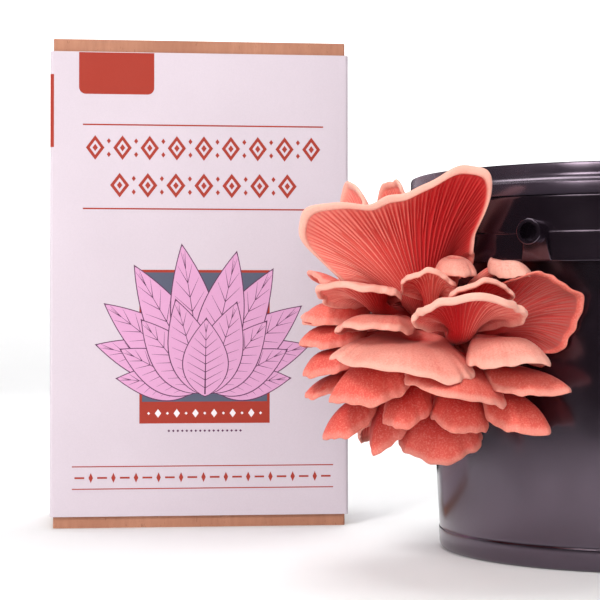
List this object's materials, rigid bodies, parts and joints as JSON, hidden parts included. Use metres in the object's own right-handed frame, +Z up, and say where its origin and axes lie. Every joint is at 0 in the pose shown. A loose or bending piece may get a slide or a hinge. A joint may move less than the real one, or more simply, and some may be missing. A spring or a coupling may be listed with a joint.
{
  "type": "oyster mushroom grow kit",
  "caption": "Closed round bucket of coffee grounds with a cluster of pink oyster mushrooms growing out of its side, standing beside the kit's tall sleeved carton.",
  "frame": {"origin": "centre of the bucket's base, on the surface it stands on", "axes": "+Z up, +X from the box towards the bucket as the picture sees them, -Y towards the camera"},
  "size_m": [0.4126, 0.3028, 0.261],
  "materials": {
    "bucket_plastic": "glossy black polypropylene",
    "coffee_grounds": null,
    "cluster_base": null,
    "mushroom_flesh": null,
    "kraft_board": null,
    "printed_sleeve": null
  },
  "bodies": {
    "root": {"bucket": "bucket_plastic", "bucket_lid": "bucket_plastic", "coffee_grounds": "coffee_grounds", "cluster_base": "cluster_base", "box_carton": "kraft_board", "box_sleeve": "printed_sleeve", "top_mushroom_1": "mushroom_flesh", "top_mushroom_2": "mushroom_flesh", "top_mushroom_3": "mushroom_flesh", "top_mushroom_4": "mushroom_flesh", "top_mushroom_5": "mushroom_flesh", "upper_mushroom_1": "mushroom_flesh", "upper_mushroom_2": "mushroom_flesh", "upper_mushroom_3": "mushroom_flesh", "upper_mushroom_4": "mushroom_flesh", "upper_mushroom_5": "mushroom_flesh", "middle_mushroom_1": "mushroom_flesh", "middle_mushroom_2": "mushroom_flesh", "middle_mushroom_3": "mushroom_flesh", "middle_mushroom_4": "mushroom_flesh", "middle_mushroom_5": "mushroom_flesh", "middle_mushroom_6": "mushroom_flesh", "middle_mushroom_7": "mushroom_flesh", "lower_mushroom_1": "mushroom_flesh", "lower_mushroom_2": "mushroom_flesh", "lower_mushroom_3": "mushroom_flesh", "lower_mushroom_4": "mushroom_flesh", "bottom_mushroom_1": "mushroom_flesh", "bottom_mushroom_2": "mushroom_flesh", "bottom_mushroom_3": "mushroom_flesh", "bottom_mushroom_4": "mushroom_flesh", "bottom_mushroom_5": "mushroom_flesh", "bottom_mushroom_6": "mushroom_flesh", "back_mushroom_1": "mushroom_flesh", "back_mushroom_2": "mushroom_flesh", "back_mushroom_3": "mushroom_flesh", "back_mushroom_4": "mushroom_flesh", "back_mushroom_5": "mushroom_flesh", "back_mushroom_6": "mushroom_flesh", "back_mushroom_7": "mushroom_flesh"}
  },
  "joints": []
}
